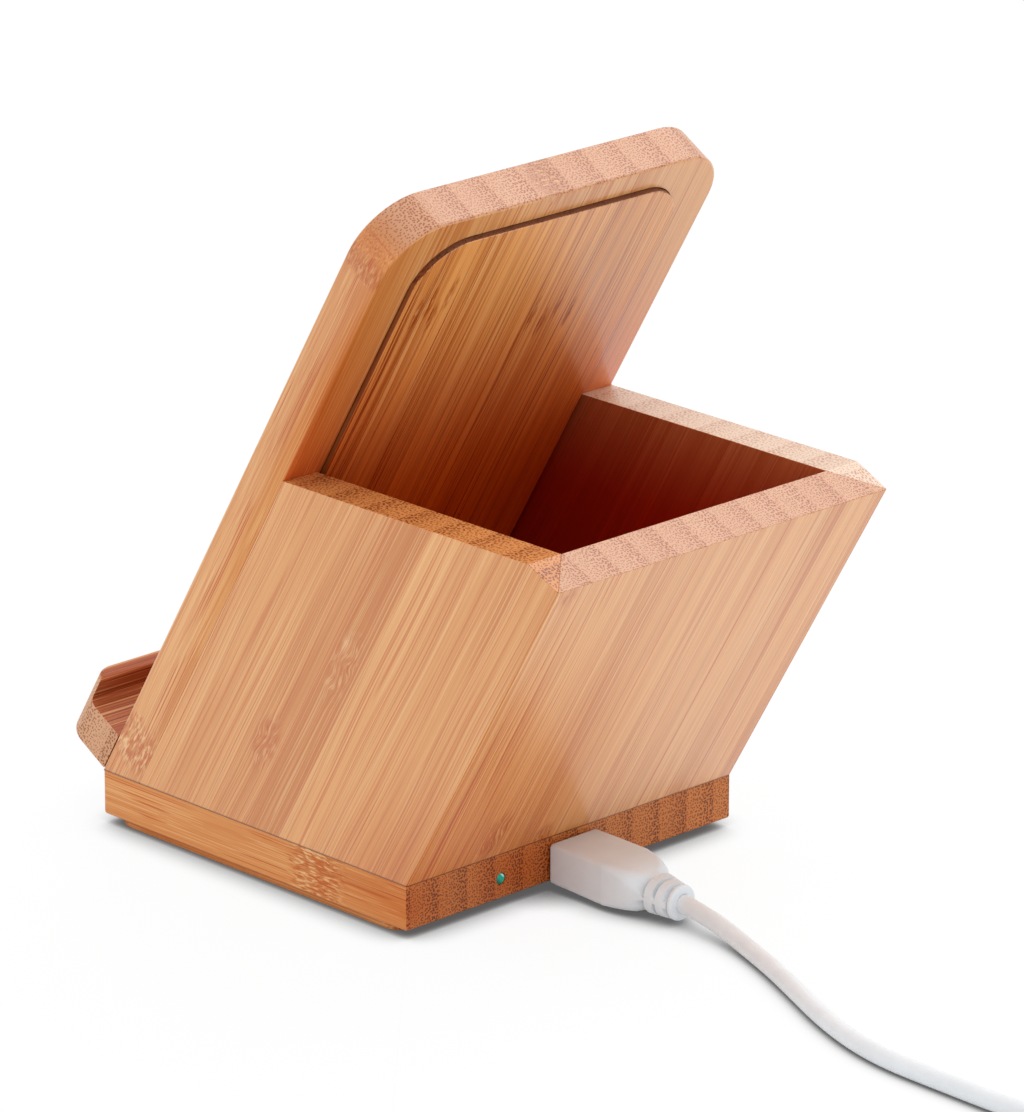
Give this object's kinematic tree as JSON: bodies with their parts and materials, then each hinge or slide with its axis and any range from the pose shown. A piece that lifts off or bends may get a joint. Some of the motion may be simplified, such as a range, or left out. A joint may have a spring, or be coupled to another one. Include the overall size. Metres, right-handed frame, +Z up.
{
  "type": "pen holder with wireless charger",
  "caption": "Leaning bamboo pen box on a square base, whose tall front board has a lipped ledge and charges a phone by induction from a plug-in lead.",
  "frame": {"origin": "centre of the underside, on the table", "axes": "+Z up; the charging face and its ledge look towards -Y, the pen box leans back towards +Y, and the lead leaves towards +Y"},
  "size_m": [0.1304, 0.2789, 0.1311],
  "materials": {
    "base_bamboo": "satin lacquer",
    "panel_bamboo": "satin lacquer",
    "inlay_bamboo": "satin lacquer",
    "wall_bamboo": "satin lacquer",
    "ledge_bamboo": "satin lacquer",
    "dowel_wood": "raw",
    "screw_steel": "zinc plated",
    "coil_copper": "enamelled copper wire",
    "ferrite": "sintered",
    "circuit_board": "solder mask",
    "black_plastic": "moulded",
    "capacitor_ceramic": "ceramic",
    "led_package": "moulded",
    "led_lens": "clear green lens",
    "plug_steel": "nickel plated",
    "lead_plastic": "fine matt moulding",
    "cord_jacket": "soft satin jacket",
    "tie_strap": "hook and loop",
    "white_insert": "moulded"
  },
  "bodies": {
    "holder": {"base_board": "base_bamboo", "bottom_cover": "base_bamboo", "charging_panel": "panel_bamboo", "coil_cover": "inlay_bamboo", "left_side_wall": "wall_bamboo", "right_side_wall": "wall_bamboo", "back_wall": "wall_bamboo", "phone_ledge": "ledge_bamboo", "ledge_dowels": "dowel_wood", "cover_screws": "screw_steel", "panel_screws": "screw_steel", "wall_screws": "screw_steel", "board_screws": "screw_steel", "charging_coil": "coil_copper", "coil_leads": "coil_copper", "ferrite_shield": "ferrite", "circuit_board": "circuit_board", "control_chip": "black_plastic", "power_inductor": "ferrite", "resonance_capacitors": "capacitor_ceramic", "status_led": "led_package", "led_window": "led_lens", "usb_socket_shell": "plug_steel", "usb_socket_tongue": "black_plastic"},
    "charging_lead": {"plug_body": "lead_plastic", "plug_metal_shell": "plug_steel", "plug_insert": "black_plastic", "cord_run": "cord_jacket", "cord_coil": "cord_jacket", "cord_tail": "cord_jacket", "cord_tie": "tie_strap", "wall_plug_body": "lead_plastic", "wall_plug_shell": "plug_steel", "wall_plug_insert": "white_insert"}
  },
  "joints": [
    {"name": "plug_pull", "type": "slide", "parent": "holder", "child": "charging_lead", "axis": [0, 1, 0], "range_m": [0, 0.012]}
  ]
}
